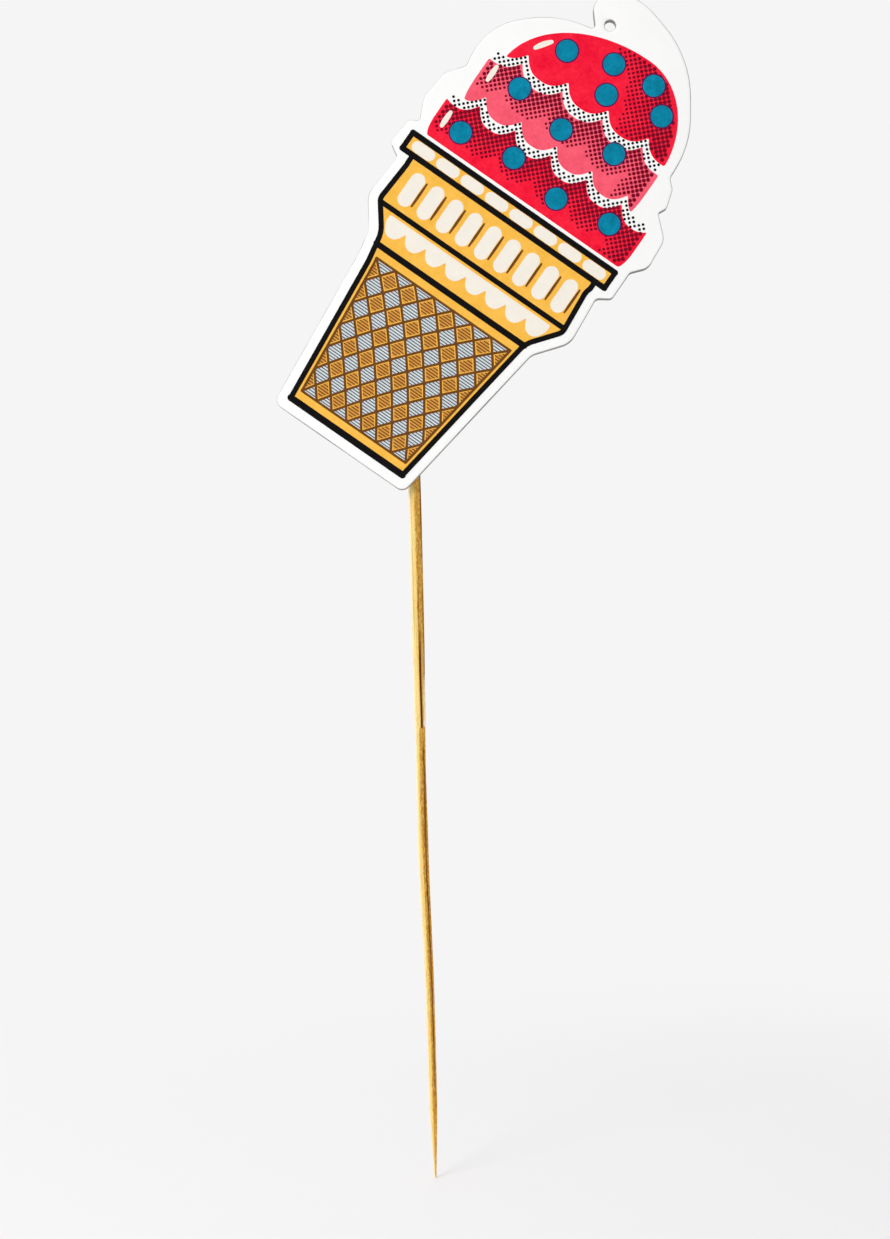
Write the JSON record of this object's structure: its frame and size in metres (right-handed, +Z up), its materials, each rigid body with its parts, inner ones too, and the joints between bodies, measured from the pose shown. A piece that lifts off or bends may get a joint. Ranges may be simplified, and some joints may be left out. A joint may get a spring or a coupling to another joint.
{
  "type": "cupcake pick",
  "caption": "Flat ice-cream-cone board tag with a small punched hanging hole, fixed aslant to a thin pointed bamboo stick for standing in a cupcake.",
  "frame": {"origin": "the pointed tip of the bamboo stick, at its middle", "axes": "+Z up the stick from its tip, -Y out of the printed front, +X to the right seen from the front"},
  "size_m": [0.0678, 0.0044, 0.1897],
  "materials": {
    "printed_paper": "matte white coated paper with a screen-printed picture",
    "core_board": "grey-white board, cut edge showing",
    "backing_paper": "uncoated white paper",
    "bamboo": "bare split bamboo, pale on one face and brown on the other",
    "hot_melt_glue": "glossy, milky translucent",
    "paper_tape": "creped paper tape, matte"
  },
  "bodies": {
    "root": {"front_print_sheet": "printed_paper", "core_board": "core_board", "backing_sheet": "backing_paper", "bamboo_stick": "bamboo", "glue_dab_lower": "hot_melt_glue", "glue_dab_middle": "hot_melt_glue", "glue_dab_upper": "hot_melt_glue", "tape_strip_lower": "paper_tape", "tape_strip_upper": "paper_tape"}
  },
  "joints": []
}
